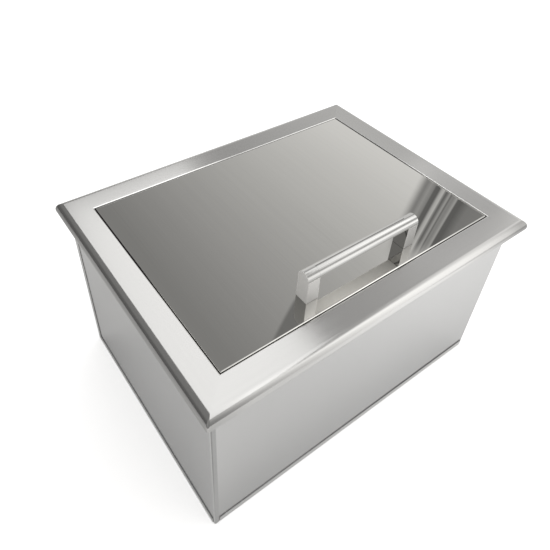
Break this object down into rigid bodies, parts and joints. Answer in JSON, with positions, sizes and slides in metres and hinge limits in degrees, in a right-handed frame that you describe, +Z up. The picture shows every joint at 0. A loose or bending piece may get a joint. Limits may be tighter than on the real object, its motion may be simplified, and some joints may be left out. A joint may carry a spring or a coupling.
{
  "type": "drop-in ice bin",
  "caption": "Rectangular insulated stainless ice bin that drops into a counter cut-out, with a bullnose rim, a drain and a flush lift-off lid with a bar handle.",
  "frame": {"origin": "middle of the footprint, at the underside of the bottom pan", "axes": "+X to the right seen from the handle side, +Y to the back, +Z up"},
  "size_m": [0.6096, 0.4636, 0.385],
  "materials": {
    "rim_steel": "brushed along each rail",
    "panel_steel": "satin mill finish",
    "tub_steel": "fine satin",
    "lid_steel": "fine brushed, half mirror",
    "polished_steel": "polished stainless steel",
    "zinc": "zinc plated steel",
    "foam": "foamed-in-place insulation",
    "seal": "matt"
  },
  "bodies": {
    "bin": {"rim_front": "rim_steel", "rim_right": "rim_steel", "rim_back": "rim_steel", "rim_left": "rim_steel", "front_panel": "panel_steel", "right_panel": "panel_steel", "back_panel": "panel_steel", "left_panel": "panel_steel", "bottom_pan": "panel_steel", "inner_tub": "tub_steel", "foam_front": "foam", "foam_back": "foam", "foam_left": "foam", "foam_right": "foam", "foam_base": "foam", "drain_body": "polished_steel", "drain_gasket": "seal", "drain_locknut": "zinc", "drain_strainer": "polished_steel"},
    "lid": {"lid_skin": "lid_steel", "lid_foam": "foam", "lid_liner": "tub_steel", "handle_bar": "polished_steel", "handle_post_left": "polished_steel", "handle_post_right": "polished_steel", "handle_backing_left": "zinc", "handle_backing_right": "zinc", "handle_screw_left_front": "zinc", "handle_screw_left_back": "zinc", "handle_screw_right_front": "zinc", "handle_screw_right_back": "zinc"}
  },
  "joints": [
    {"name": "lid_lift", "type": "slide", "parent": "bin", "child": "lid", "axis": [0, 0, 1], "range_m": [0, 0.25]}
  ]
}
